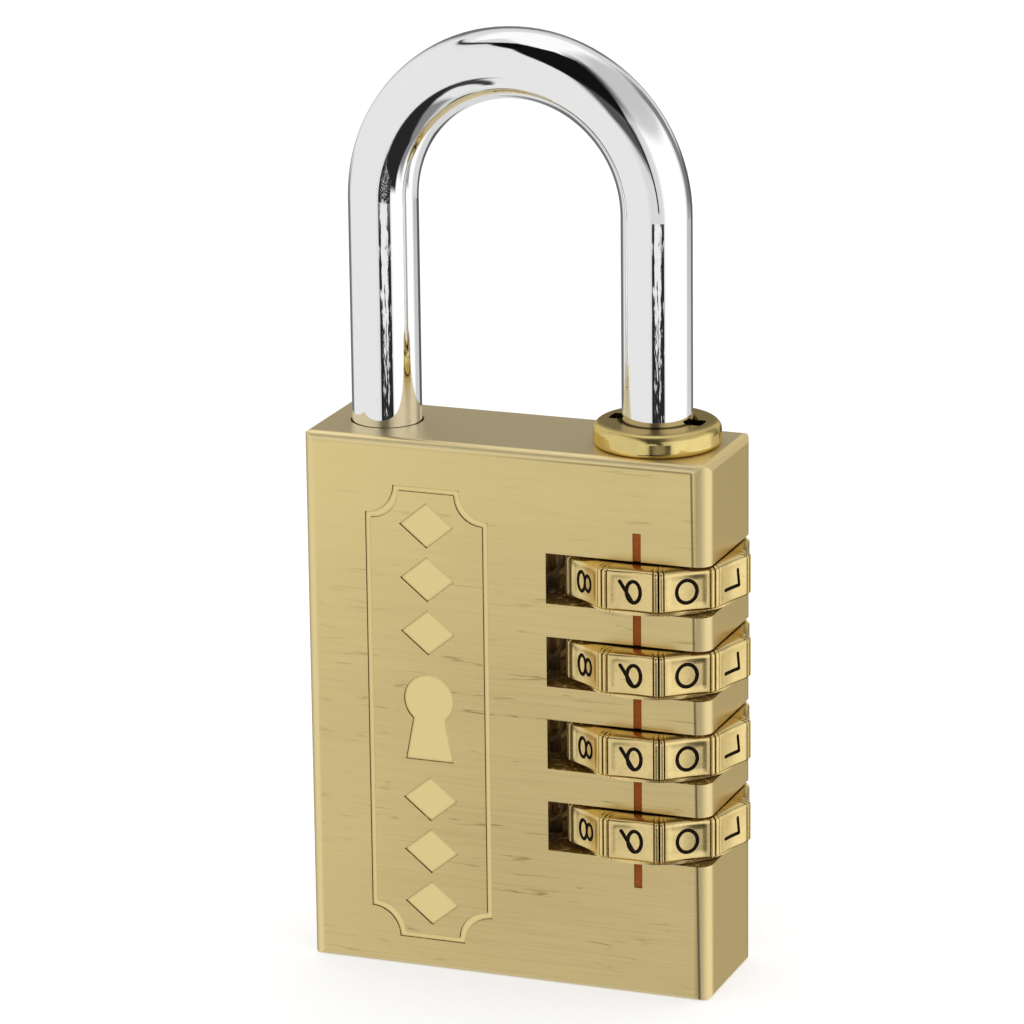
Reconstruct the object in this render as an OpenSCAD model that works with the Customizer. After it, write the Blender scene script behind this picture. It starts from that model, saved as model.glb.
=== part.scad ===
// Resettable combination padlock: a brass block, a hardened shackle and four numbered dials.
// The origin is the centre of the block's bottom face, the front looks along -Y, +Z is up.

/* [Block] */
// Width of the brass block
body_w = 40; // [39.6:0.1:42]
// Thickness of the brass block
body_t = 12.9; // [12.9:0.1:14]
// Height of the brass block
body_h = 51.8; // [51.8:0.1:54]
// Radius of the upright edges
side_r = 1.4; // [0.8:0.1:1.6]
// Radius of the edges round the top face
top_r = 0.8; // [0.5:0.1:1]
// Radius of the edges round the bottom face
bottom_r = 0.4; // [0.3:0.1:0.6]

/* [Shackle] */
// Diameter of the shackle rod
rod_d = 6.6; // [6.3:0.1:6.7]
// Distance between the centres of the two legs
leg_span = 26.8; // [26.4:0.1:27.6]
// Height of the bow's centre above the block
bow_rise = 21.4; // [16:0.2:40]

/* [Dials] */
// Distance of the dial axis from the block's centre
axis_x = 12.9; // [12.7:0.1:13.1]
// Diameter over the ribs of a dial
dial_d = 17.8; // [17.4:0.1:18.1]
// Height of a dial's numbered rim
dial_h = 4.1; // [4:0.05:4.2]
// Distance from one dial to the next, which is also the lift of the shackle
pitch = 8.05; // [8:0.05:8.1]
// Height of the window that a dial turns in
window_h = 4.85; // [4.8:0.05:5]
// Distance from the top of the block to the top of the first window
first_window = 9.6; // [9.6:0.1:10]

/* [Hidden] */
$fn = 96;
cut = 1;            // overshoot of a cutter past the surface it opens
snug = 0.02;        // radial gap of a pressed piece
digits = 10;
dial_count = 4;
digit_turn = 1.5;   // digits sit this many degrees round from the front

// Heights of the dial column, measured at dial 1
axis = [axis_x, 0];
window_top = body_h - first_window;
dial_top = window_top - 0.15;
dial_base = dial_top - dial_h;
dial_r = dial_d / 2;
dial_chamfer = 0.3;
pocket_r = 10.83;
panel_depth = 0.5;
panel_r = 10.3;
rib_groove = 0.35;
rim_foot_r = 7.6;
rim_foot_h = 0.52;

// Hubs: sleeves that carry the slots which the shackle's fins pass through
hub_r = 5.2;
hub_bore_r = rod_d / 2 + 0.1;
hub_h = pitch - 0.05;
hub_base = dial_base - 1.9;
hub_shift = 1.2;    // travel of the hubs when a new code is set
relief_r = 4.45;
relief_h = 3.8;
lug_r = 5.9;
lug_w = 1.2;
lug_h = 1;
lug_base = dial_base + 2.2;
lug_bore_h = 2.1;   // height of the open space under the dial's notches
notch_r = 6;
notch_w = 1.5;
notch_bore_r = 6.05;
dial_bore_r = hub_r + 0.06;
bore_r = hub_r + 0.07;
slot_gap = 0.3;

// Fins on the long leg, narrow at the front and wide at the back so that only one code opens
fin_r = 4.3;
fin_h = 2.2;
fin_base = hub_base + 0.2;
front_fin_w = 1.8;
back_fin_w = 2.4;

// Collar round the long leg
collar_r = 5.95;
collar_h = 2.25;
collar_top_r = 0.9;
collar_low_r = 0.5;
spigot_r = 5.5;
spigot_base = hub_base + pitch;
spigot_relief_h = 2.5;
notch_tip_r = 4.55;
collar_notch_w = 1.9;
collar_pin_r = 0.75;
collar_pin_z = body_h - 2.9;
collar_pin_in = 4.2;

// Shackle legs
rod_r = rod_d / 2;
short_x = axis_x - leg_span;
short_depth = 6.4;
short_hole_depth = 6.8;
short_hole_r = rod_r + 0.15;
rod_chamfer = 0.6;
leg_end = hub_base - (dial_count - 1) * pitch - 0.5;
spring_bore_r = 2.35;
spring_bore_h = 6.4;

// Bottom plate, the pins that hold it and the parts that stand on it
plate_r = 5.6;
plate_len = 7;
plate_inset = 0.1;
plate_top = 3.1;
pin_r = 0.6;
pin_z = 1.6;
pin_in = 4.7;
pin_inset = 0.05;
post_r = 1.5;
post_top = 9.5;
post_in = 1.5;
washer_h = 0.6;
washer_r = 5.15;
washer_bore_r = rod_r + 0.15;
washer_top = hub_base - (dial_count - 1) * pitch - 0.05;
end_gap = 0.05;
hub_coil_r = 4.45;
hub_wire_r = 0.35;
hub_turns = 5;
shackle_coil_r = 1.92;
shackle_wire_r = 0.25;
shackle_turns = 11;
close_turn = 2.4;   // rise of an end turn, in wire radii
coil_sides = 8;
coil_steps = 16;

// Leaf spring that clicks against the dials
leaf_gap = 10.3;    // from the dial axis to the leaf's near face
leaf_t = 0.3;
leaf_w = 3;
leaf_bump_r = 1.7;
leaf_tip = dial_r + 0.1;
leaf_slot = 1;
channel_w = leaf_w + 0.4;
channel_in = 11.2;
channel_out = 9;

// Red index line and engraved panel on the front
index_x = 13.1;
index_w = 0.8;
index_top = 44.9;
index_base = 10.5;
index_depth = 0.3;
index_fill = 0.22;
index_inset = 0.04;
emblem_x = -7.6;
emblem_z = 25.1;
emblem_w = 12.2;
emblem_h = 44.6;
emblem_line = 0.55;
emblem_depth = 0.12;
scoop_r = 2.8;
lozenge_w = 5.4;
lozenge_h = 4.4;
lozenge_pitch = 5.2;
lozenge_pairs = 2;
keyhole_r = 2.5;
keyhole_foot = 2.4;
keyhole_drop = 6;
keyhole_lift = 1.6;

brass = [0.80, 0.70, 0.45];
bright_brass = [0.85, 0.74, 0.42];
steel = [0.72, 0.73, 0.75];
chrome = [0.90, 0.91, 0.93];
red = [0.75, 0.20, 0.10];

// The waste outside a rounded corner of the first quadrant
module corner_waste(r) {
    difference() {
        translate([-cut, -cut]) square(r + cut);
        translate([r, r]) circle(r);
    }
}

// A rectangle from the origin, with one radius for its lower corners and one for its upper
module soft_rect(w, h, low_r, high_r) {
    difference() {
        square([w, h]);
        for (x = [0, 1], y = [0, 1])
            translate([x * w, y * h]) mirror([x, 0]) mirror([0, y])
                corner_waste(y == 0 ? low_r : high_r);
    }
}

// The block with all its edges rounded
module block() {
    intersection() {
        translate([-body_w / 2, -body_t / 2, 0]) linear_extrude(body_h)
            soft_rect(body_w, body_t, side_r, side_r);
        translate([-body_w / 2, body_t / 2, 0]) rotate([90, 0, 0]) linear_extrude(body_t)
            soft_rect(body_w, body_h, bottom_r, top_r);
        translate([-body_w / 2, -body_t / 2, 0]) rotate([90, 0, 90]) linear_extrude(body_w)
            soft_rect(body_t, body_h, bottom_r, top_r);
    }
}

// An upright cylinder on the dial axis
module on_axis(r, z, h) {
    translate([axis_x, 0, z]) cylinder(r = r, h = h);
}

// A straight slot to a given radius, on the side that the angle gives
module axis_slot(r, w, z, h, angle) {
    translate([axis_x, 0, z]) intersection() {
        cylinder(r = r, h = h);
        rotate([0, 0, angle]) translate([0, -w / 2, 0]) cube([r + cut, w, h]);
    }
}

module windows() {
    for (i = [0 : dial_count - 1]) {
        z = window_top - window_h - i * pitch;
        on_axis(pocket_r, z, window_h);
        translate([axis_x, -body_t / 2 - cut, z])
            cube([body_w, body_t + 2 * cut, window_h]);
    }
}

module plate_shape(gap) {
    circle(plate_r + gap);
    translate([-plate_len, 0]) circle(plate_r + gap);
    translate([-plate_len, -plate_r - gap]) square([plate_len, 2 * (plate_r + gap)]);
}

// The keyway in the webs, which lets the hub lugs in from below
module web_keyway() {
    axis_slot(lug_r + 0.15, lug_w + 0.4, plate_top, window_top - plate_top, 180);
}

module click_channel() {
    translate([axis_x - channel_in, -channel_w / 2, plate_top])
        cube([channel_in - channel_out, channel_w, window_top + leaf_slot - plate_top]);
}

// A pin hole or a pin, lying along Y and ending at the back face
module back_pin(x, z, r, inner_y, outer_y) {
    translate([x, outer_y, z]) rotate([90, 0, 0]) cylinder(r = r, h = outer_y - inner_y);
}

// A rectangle with scooped corners, centred on the origin
module scooped(w, h, r) {
    difference() {
        square([w, h], center = true);
        for (x = [-1, 1], y = [-1, 1])
            translate([x * w / 2, y * h / 2]) circle(r);
    }
}

module lozenge() {
    polygon([[-lozenge_w / 2, 0], [0, -lozenge_h / 2], [lozenge_w / 2, 0], [0, lozenge_h / 2]]);
}

module keyhole() {
    circle(keyhole_r);
    polygon([[-keyhole_foot, -keyhole_drop], [keyhole_foot, -keyhole_drop],
             [keyhole_r / 2, 0], [-keyhole_r / 2, 0]]);
}

// The sunk ornament on the front: a scooped border, a keyhole and a column of lozenges
module ornament() {
    difference() {
        scooped(emblem_w, emblem_h, scoop_r);
        scooped(emblem_w - 2 * emblem_line, emblem_h - 2 * emblem_line, scoop_r);
    }
    translate([0, keyhole_lift]) keyhole();
    for (side = [-1, 1], i = [0 : lozenge_pairs])
        translate([0, side * (keyhole_drop + lozenge_h / 2 + i * lozenge_pitch)]) lozenge();
}

module front_engraving() {
    translate([emblem_x, -body_t / 2 + emblem_depth, emblem_z]) rotate([90, 0, 0])
        linear_extrude(emblem_depth + cut) ornament();
    translate([index_x - index_w / 2, -body_t / 2 - cut, index_base])
        cube([index_w, index_depth + cut, index_top - index_base]);
}

module lock_body() {
    color(brass) difference() {
        block();
        translate([short_x, 0, body_h - short_hole_depth])
            cylinder(r = short_hole_r, h = short_hole_depth + cut);
        on_axis(spigot_r + snug, spigot_base, body_h - spigot_base + cut);
        on_axis(bore_r, plate_top - cut, spigot_base - plate_top + 2 * cut);
        web_keyway();
        windows();
        click_channel();
        translate([axis_x, 0, -cut]) linear_extrude(plate_top + snug + cut) plate_shape(snug);
        back_pin(axis_x, collar_pin_z, collar_pin_r + snug, collar_pin_in, body_t / 2 + cut);
        for (x = [axis_x, axis_x - plate_len])
            back_pin(x, pin_z, pin_r + snug, pin_in, body_t / 2 + cut);
        front_engraving();
    }
}

// A length of rod with a chamfered lower end
module leg(x, z_end) {
    top = body_h + bow_rise;
    translate([x, 0, z_end]) rotate_extrude()
        polygon([[0, 0], [rod_r - rod_chamfer, 0], [rod_r, rod_chamfer],
                 [rod_r, top - z_end], [0, top - z_end]]);
}

module fin_pair(z) {
    axis_slot(fin_r, front_fin_w, z, fin_h, -90);
    axis_slot(fin_r, back_fin_w, z, fin_h, 90);
}

module shackle() {
    color(chrome) difference() {
        union() {
            translate([axis_x - leg_span / 2, 0, body_h + bow_rise]) rotate([90, 0, 0])
                rotate_extrude(angle = 180) translate([leg_span / 2, 0]) circle(rod_r);
            leg(short_x, body_h - short_depth);
            leg(axis_x, leg_end);
            for (i = [0 : dial_count - 1]) fin_pair(fin_base - i * pitch);
        }
        on_axis(spring_bore_r, leg_end - cut, spring_bore_h + cut);
    }
}

module shackle_collar() {
    flange_top = body_h + collar_h;
    color(bright_brass) difference() {
        union() {
            on_axis(spigot_r, spigot_base, body_h - spigot_base);
            translate([axis_x, 0, body_h]) rotate_extrude() intersection() {
                translate([-collar_r, 0])
                    soft_rect(2 * collar_r, collar_h, collar_low_r, collar_top_r);
                square([collar_r, collar_h]);
            }
        }
        on_axis(hub_bore_r, spigot_base - cut, flange_top - spigot_base + 2 * cut);
        on_axis(relief_r, spigot_base - cut, spigot_relief_h + cut);
        for (angle = [0, 180])
            axis_slot(notch_tip_r, collar_notch_w, spigot_base, flange_top - spigot_base + cut, angle);
        back_pin(axis_x, collar_pin_z, collar_pin_r + snug, collar_pin_in, spigot_r + cut);
    }
}

module collar_pin() {
    color(steel)
        back_pin(axis_x, collar_pin_z, collar_pin_r, collar_pin_in, body_t / 2 - pin_inset);
}

// Outer shape of a dial: a lathe-turned rim with a foot that runs on the web below
module dial_blank() {
    rotate_extrude() polygon([
        [0, -rim_foot_h], [rim_foot_r, -rim_foot_h], [rim_foot_r, 0],
        [dial_r - dial_chamfer, 0], [dial_r, dial_chamfer],
        [dial_r, dial_h - dial_chamfer], [dial_r - dial_chamfer, dial_h], [0, dial_h]]);
}

// Ten hollow panels, and between each two a pair of ribs with a fine groove
module ribbed_outline() {
    difference() {
        circle(dial_r + cut);
        for (k = [0 : digits - 1]) rotate(digit_turn - 90 + k * 360 / digits) {
            translate([dial_r - panel_depth + panel_r, 0]) circle(panel_r);
            rotate(180 / digits) translate([dial_r, 0]) rotate(45)
                square(rib_groove, center = true);
        }
    }
}

// One dial: ten hollow panels outside, ten notches for the hub's lug inside
module dial(i) {
    color(brass) translate([axis_x, 0, dial_base - i * pitch]) difference() {
        intersection() {
            dial_blank();
            translate([0, 0, -rim_foot_h - cut]) linear_extrude(dial_h + rim_foot_h + 2 * cut)
                ribbed_outline();
        }
        translate([0, 0, -rim_foot_h - cut])
            cylinder(r = dial_bore_r, h = dial_h + rim_foot_h + 2 * cut);
        translate([0, 0, -rim_foot_h - cut])
            cylinder(r = notch_bore_r, h = rim_foot_h + lug_bore_h + cut);
        for (k = [0 : digits - 1]) rotate([0, 0, k * 360 / digits]) intersection() {
            cylinder(r = notch_r, h = dial_h + cut);
            translate([0, -notch_w / 2, 0]) cube([notch_r + cut, notch_w, dial_h + cut]);
        }
    }
}

// One hub: a sleeve with a lug outside, two slots inside and a round relief below
module hub(i) {
    drop = i * pitch;
    color(steel) difference() {
        union() {
            on_axis(hub_r, hub_base - drop, hub_h);
            axis_slot(lug_r, lug_w, lug_base - drop, lug_h, 180);
        }
        on_axis(hub_bore_r, hub_base - drop - cut, hub_h + 2 * cut);
        on_axis(relief_r, hub_base - drop - cut, relief_h + cut);
        axis_slot(relief_r, front_fin_w + slot_gap, hub_base - drop, hub_h + cut, -90);
        axis_slot(relief_r, back_fin_w + slot_gap, hub_base - drop, hub_h + cut, 90);
    }
}

module dial_1() { dial(0); }
module dial_2() { dial(1); }
module dial_3() { dial(2); }
module dial_4() { dial(3); }
module hub_1() { hub(0); }
module hub_2() { hub(1); }
module hub_3() { hub(2); }
module hub_4() { hub(3); }

// A leaf with one rounded bump, bent from the same strip, for each dial
module click_spring() {
    face_x = axis_x - leaf_gap;
    bump_x = axis_x - leaf_tip - leaf_bump_r;
    half_chord = sqrt(pow(leaf_bump_r, 2) - pow(face_x - bump_x, 2));
    middle = dial_base + dial_h / 2;
    color(steel) translate([0, leaf_w / 2, 0]) rotate([90, 0, 0]) linear_extrude(leaf_w)
        difference() {
            union() {
                translate([face_x - leaf_t, plate_top + end_gap])
                    square([leaf_t, window_top + leaf_slot - plate_top - 2 * end_gap]);
                for (i = [0 : dial_count - 1])
                    translate([bump_x, middle - i * pitch]) intersection() {
                        circle(leaf_bump_r);
                        translate([face_x - leaf_t - bump_x, -leaf_bump_r])
                            square(2 * leaf_bump_r);
                    }
            }
            for (i = [0 : dial_count - 1])
                translate([bump_x, middle - i * pitch]) intersection() {
                    circle(leaf_bump_r - leaf_t);
                    translate([face_x - leaf_t - bump_x - cut, -half_chord])
                        square([2 * leaf_bump_r, 2 * half_chord]);
                }
        }
}

// Height of a coil's wire after t of its turns; the first and last turns lie close
function coil_rise(t, turns, close, span) =
    t < 1 ? close * t :
    t > turns - 1 ? span - close * (turns - t) :
    close + (t - 1) * (span - 2 * close) / (turns - 2);

// A coil spring swept as one closed skin, between two heights on the dial axis
module coil(r, wire_r, turns, low, high) {
    rings = turns * coil_steps;
    points = [for (j = [0 : rings], s = [0 : coil_sides - 1])
        let (t = j / coil_steps, a = 360 * t, b = 360 * s / coil_sides,
             z = low + wire_r + coil_rise(t, turns, close_turn * wire_r, high - low - 2 * wire_r),
             out = r + wire_r * cos(b))
        [out * cos(a), out * sin(a), z + wire_r * sin(b)]];
    sides = [for (j = [0 : rings - 1], s = [0 : coil_sides - 1])
        let (next = (s + 1) % coil_sides, here = j * coil_sides, there = here + coil_sides)
        [here + s, there + s, there + next, here + next]];
    start = [for (s = [0 : coil_sides - 1]) s];
    finish = [for (s = [coil_sides - 1 : -1 : 0]) rings * coil_sides + s];
    translate([axis_x, 0, 0]) polyhedron(points, concat(sides, [start, finish]), convexity = 10);
}

module hub_spring() {
    color(steel)
        coil(hub_coil_r, hub_wire_r, hub_turns, plate_top + end_gap, washer_top - washer_h - end_gap);
}

module shackle_spring() {
    color(steel)
        coil(shackle_coil_r, shackle_wire_r, shackle_turns,
             plate_top + end_gap, leg_end + spring_bore_h - end_gap);
}

module thrust_washer() {
    color(steel) difference() {
        on_axis(washer_r, washer_top - washer_h, washer_h);
        on_axis(washer_bore_r, washer_top - washer_h - cut, washer_h + 2 * cut);
    }
}

module spring_post() {
    base = plate_top - post_in;
    color(steel) translate([axis_x, 0, base]) rotate_extrude()
        polygon([[0, 0], [post_r, 0], [post_r, post_top - base - post_r / 2],
                 [post_r / 2, post_top - base], [0, post_top - base]]);
}

module bottom_plate() {
    color(brass) difference() {
        translate([axis_x, 0, plate_inset]) linear_extrude(plate_top - plate_inset) plate_shape(0);
        on_axis(post_r + snug, plate_top - post_in, post_in + cut);
        for (x = [axis_x, axis_x - plate_len])
            back_pin(x, pin_z, pin_r + snug, pin_in, plate_r + cut);
    }
}

module plate_pins() {
    color(steel) for (x = [axis_x, axis_x - plate_len])
        back_pin(x, pin_z, pin_r, pin_in, body_t / 2 - pin_inset);
}

// Paint in the index groove: one stroke above, between and below the windows
module index_marks() {
    fill_w = index_w - 2 * snug;
    color(red) for (i = [0 : dial_count]) {
        high = i == 0 ? index_top : window_top - window_h - (i - 1) * pitch;
        low = i == dial_count ? index_base : window_top - i * pitch;
        translate([index_x - fill_w / 2, -body_t / 2 + index_depth - index_fill, low + index_inset])
            cube([fill_w, index_fill, high - low - 2 * index_inset]);
    }
}

lock_body();
shackle();
shackle_collar();
collar_pin();
dial_1();
dial_2();
dial_3();
dial_4();
hub_1();
hub_2();
hub_3();
hub_4();
click_spring();
hub_spring();
thrust_washer();
shackle_spring();
spring_post();
bottom_plate();
plate_pins();
index_marks();
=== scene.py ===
"""Looks of the combination padlock: a white studio, scratched brass, mirror chrome and numbered dials.
"""
import math

import bmesh
import bpy
from mathutils import Matrix, Vector


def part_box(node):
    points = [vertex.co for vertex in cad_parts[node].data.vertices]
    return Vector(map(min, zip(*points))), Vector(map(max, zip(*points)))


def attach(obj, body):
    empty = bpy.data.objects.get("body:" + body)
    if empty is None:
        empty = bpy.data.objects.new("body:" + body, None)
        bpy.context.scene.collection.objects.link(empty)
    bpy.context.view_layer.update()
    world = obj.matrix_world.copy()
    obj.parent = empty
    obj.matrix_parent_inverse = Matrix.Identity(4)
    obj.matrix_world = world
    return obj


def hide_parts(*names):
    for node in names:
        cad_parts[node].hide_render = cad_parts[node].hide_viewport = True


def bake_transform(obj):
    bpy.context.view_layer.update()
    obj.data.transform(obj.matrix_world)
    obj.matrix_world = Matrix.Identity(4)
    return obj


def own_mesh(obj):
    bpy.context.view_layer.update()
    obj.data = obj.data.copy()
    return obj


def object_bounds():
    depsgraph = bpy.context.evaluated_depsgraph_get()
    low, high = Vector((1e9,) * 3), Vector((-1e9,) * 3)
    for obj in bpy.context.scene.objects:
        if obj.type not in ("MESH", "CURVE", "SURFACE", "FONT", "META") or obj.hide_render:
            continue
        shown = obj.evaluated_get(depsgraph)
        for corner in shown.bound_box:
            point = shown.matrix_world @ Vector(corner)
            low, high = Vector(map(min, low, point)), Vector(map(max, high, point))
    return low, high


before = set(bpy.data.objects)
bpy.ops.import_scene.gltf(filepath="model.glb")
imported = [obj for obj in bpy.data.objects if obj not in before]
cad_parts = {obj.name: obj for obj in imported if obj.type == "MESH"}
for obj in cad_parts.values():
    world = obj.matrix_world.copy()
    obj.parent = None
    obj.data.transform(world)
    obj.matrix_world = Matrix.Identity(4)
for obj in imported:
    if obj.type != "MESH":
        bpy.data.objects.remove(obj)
cad_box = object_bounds()

MM = 0.001
TAU = 2 * math.pi


# ---------------------------------------------------------------- node graphs

class Graph:
    """Adds linked nodes to one node tree, so that a shader reads like a formula."""

    def __init__(self, tree):
        self.tree = tree
        self.tree.nodes.clear()

    def node(self, kind, settings=None, **inputs):
        made = self.tree.nodes.new(kind)
        for name, value in (settings or {}).items():
            setattr(made, name, value)
        for name, value in inputs.items():
            self.feed(made.inputs[name.replace("_", " ")], value)
        return made

    def feed(self, socket, value):
        if isinstance(value, bpy.types.NodeSocket):
            self.tree.links.new(value, socket)
        else:
            socket.default_value = value

    def math(self, operation, a, b=0.0, c=0.0):
        made = self.tree.nodes.new("ShaderNodeMath")
        made.operation = operation
        for socket, value in zip(made.inputs, (a, b, c)):
            self.feed(socket, value)
        return made.outputs[0]

    def add(self, a, b):
        return self.math("ADD", a, b)

    def minus(self, a, b):
        return self.math("SUBTRACT", a, b)

    def times(self, a, b):
        return self.math("MULTIPLY", a, b)

    def ramp(self, value, low, high, low_out=0.0, high_out=1.0):
        """A smooth step from low_out at low to high_out at high."""
        made = self.node("ShaderNodeMapRange", {"interpolation_type": "SMOOTHSTEP"})
        for socket, given in zip(made.inputs, (value, low, high, low_out, high_out)):
            self.feed(socket, given)
        return made.outputs[0]

    def blend(self, factor, a, b):
        """Mixes two numbers."""
        made = self.node("ShaderNodeMix", {"data_type": "FLOAT"})
        for socket, given in zip(made.inputs[:1] + made.inputs[2:4], (factor, a, b)):
            self.feed(socket, given)
        return made.outputs[0]

    def tint(self, factor, a, b):
        """Mixes two colours."""
        made = self.node("ShaderNodeMix", {"data_type": "RGBA"})
        self.feed(made.inputs["Factor"], factor)
        self.feed(made.inputs[6], a)
        self.feed(made.inputs[7], b)
        return made.outputs[2]

    def noise(self, vector, scale, detail=2.0, roughness=0.5, kind="FBM"):
        made = self.node("ShaderNodeTexNoise", {"noise_type": kind}, Vector=vector,
                         Scale=scale, Detail=detail, Roughness=roughness)
        return made.outputs["Fac"]

    def stretched(self, vector, scale):
        """The same place on a grid that is denser along some axes."""
        made = self.node("ShaderNodeVectorMath", {"operation": "MULTIPLY"})
        self.feed(made.inputs[0], vector)
        self.feed(made.inputs[1], scale)
        return made.outputs[0]

    def axes(self, vector):
        return self.node("ShaderNodeSeparateXYZ", Vector=vector).outputs[:3]


def grey(level):
    return (level, level, level, 1.0)


# ---------------------------------------------------------------- camera

# The camera looks down on the right front corner with a long lens
VIEW_AZIMUTH = math.radians(20.888)
VIEW_ELEVATION = math.radians(16.242)
VIEW_ROLL = math.radians(-0.672)
VIEW_DISTANCE = 506.3 * MM
VIEW_LENS = 188.9
AIM_FROM_CENTRE = Vector((-3.05, 4.03, -2.37)) * MM


def make_camera():
    """The photograph's camera, aimed from the middle of the lock's height."""
    lo, hi = cad_box
    height = (lo.z + hi.z) / 2
    look = Vector((-math.sin(VIEW_AZIMUTH) * math.cos(VIEW_ELEVATION),
                   math.cos(VIEW_AZIMUTH) * math.cos(VIEW_ELEVATION),
                   -math.sin(VIEW_ELEVATION)))
    aim = Vector((0, 0, height)) + AIM_FROM_CENTRE
    camera = bpy.data.objects.new("camera", bpy.data.cameras.new("camera"))
    camera.data.lens = VIEW_LENS
    camera.data.clip_start = 10 * MM
    camera.data.clip_end = 10
    turn = look.to_track_quat("-Z", "Y").to_matrix() @ Matrix.Rotation(VIEW_ROLL, 3, "Z")
    camera.matrix_world = Matrix.Translation(aim - look * VIEW_DISTANCE) @ turn.to_4x4()
    bpy.context.scene.collection.objects.link(camera)
    bpy.context.scene.camera = camera


make_camera()


# ---------------------------------------------------------------- studio

# Boards of the studio as glossy surfaces see them: the azimuth of each one's middle (0 is in
# front, 90 to the right), its corners as (azimuth, elevation) from there and anticlockwise, the
# softness of its edges in degrees, and its brightness
ROOM_LEVEL = 0.70
BOARDS = (
    ("ceiling", 0, ((-181, 70), (181, 70), (181, 95), (-181, 95)), 6, 1.0),
    ("ceiling_back", -152, ((-60, 46), (60, 54), (60, 75), (-60, 75)), 10, 0.99),
    ("left_softbox", -62, ((-66, -72), (62, -72), (62, 52), (-66, 50)), 14, 0.80),
    ("right_wall_high", 100, ((-62, 34), (62, 30), (52, 66), (24, 80), (-20, 80), (-62, 72)), 26, 0.56),
    ("right_softbox", 92, ((-46, -38), (36, -60), (40, 26), (-48, 26)), 12, 1.04),
    ("right_back_card", 146, ((-9, -12), (8, -12), (14, 36), (-8, 36)), 12, 0.20),
    ("side_card", 174, ((-10, -42), (14, -42), (14, 0), (-10, 0)), 8, 0.10),
    ("left_back_card", -134, ((-16, -52), (18, -46), (18, -8), (-16, -8)), 12, 0.16),
    ("back_card", -152, ((-24, -2), (10, 2), (14, 30), (-30, 30)), 12, 0.16),
    ("flag_shadow", 28, ((-6, 26), (12, 34), (26, 76), (-6, 76)), 24, 0.03),
    ("left_flag", -88, ((-32, 43), (30, 57), (30, 63), (-32, 45)), 3, 0.02),
    ("top_flag", -40, ((-20, 57), (20, 48), (20, 70), (-8, 68), (-20, 63)), 3, 0.004),
    ("front_flag", 0, ((0, 18), (25, 19), (31, 34), (34, 71), (0, 74), (-30, 68), (-32, 54)), 3, 0.006),
    ("under_flag", 12, ((-14, 4), (14, 1), (16, 20), (-14, 22)), 9, 0.08),
    ("lens_line", 24, ((2, -10), (6, -10), (1, 20), (-4, 20)), 1, 0.02),
    ("floor_glow", 35, ((-30, -70), (10, -72), (40, -62), (40, -30), (-30, -44)), 12, 0.24),
    ("floor_flag", 18, ((-42, -39), (-13, -50), (12, -54), (38, -50), (42, -20), (-4, -20), (-30, -31)),
     5, 0.02),
    ("floor_flag_left", -22, ((-14, -62), (-6, -61), (14, -40), (6, -35)), 4, 0.05),
    ("floor_flag_far", -82, ((-28, -53), (20, -82), (27, -76), (-20, -48)), 4, 0.05),
    ("floor_flag_right", 94, ((-10, -76), (0, -76), (15, -24), (8, -24)), 9, 0.06),
    ("nadir", -5, ((-80, -95), (72, -95), (72, -79), (-80, -79)), 5, 0.07),
    ("camera_stand", 23, ((-19, -24), (20, -24), (20, -12.7), (-19, -12.7)), 1.4, 0.02),
)
CLUTTER = "camera_stand"


def studio_direction(graph):
    """Azimuth and elevation of a ray, in degrees."""
    place = graph.node("ShaderNodeTexCoord").outputs["Generated"]
    x, y, z = graph.axes(place)
    azimuth = graph.math("ARCTAN2", x, graph.times(y, -1.0))
    elevation = graph.math("ARCSINE", z)
    to_degrees = 180 / math.pi
    return graph.times(azimuth, to_degrees), graph.times(elevation, to_degrees)


def board_mask(graph, azimuth, elevation, middle, corners, soft):
    """1 inside a convex outline and 0 outside."""
    across = graph.math("WRAP", graph.minus(azimuth, middle), 180.0, -180.0)
    inside = None
    for (x0, y0), (x1, y1) in zip(corners, corners[1:] + corners[:1]):
        length = math.hypot(x1 - x0, y1 - y0)
        nx, ny = -(y1 - y0) / length, (x1 - x0) / length
        reach = graph.math("MULTIPLY_ADD", across, nx, -(nx * x0 + ny * y0))
        reach = graph.math("MULTIPLY_ADD", elevation, ny, reach)
        inside = reach if inside is None else graph.math("MINIMUM", inside, reach)
    return graph.ramp(inside, -soft / 2, soft / 2)


# The clutter on the camera stand grows denser towards the middle azimuth and upwards between
# these elevations
STAND_MIDDLE, STAND_HALF = 22.0, 20.0
STAND_LOW, STAND_HIGH = -15.2, -13.2


def clutter(graph, azimuth, elevation, dark):
    """Broken bright shapes in front of a dark board, such as cables and a tripod."""
    place = graph.node("ShaderNodeCombineXYZ", X=graph.times(azimuth, 0.13),
                       Y=graph.times(elevation, 4.0)).outputs[0]
    shards = graph.noise(place, 1.2, 4.0, 0.66)
    off = graph.math("ABSOLUTE", graph.minus(azimuth, STAND_MIDDLE))
    central = graph.ramp(off, STAND_HALF - 4, STAND_HALF / 4)
    denser = graph.ramp(elevation, STAND_LOW, STAND_HIGH, 0.06, 0.26)
    shards = graph.add(shards, graph.times(central, denser))
    return graph.ramp(shards, 0.60, 0.64, dark, 0.85)


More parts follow.
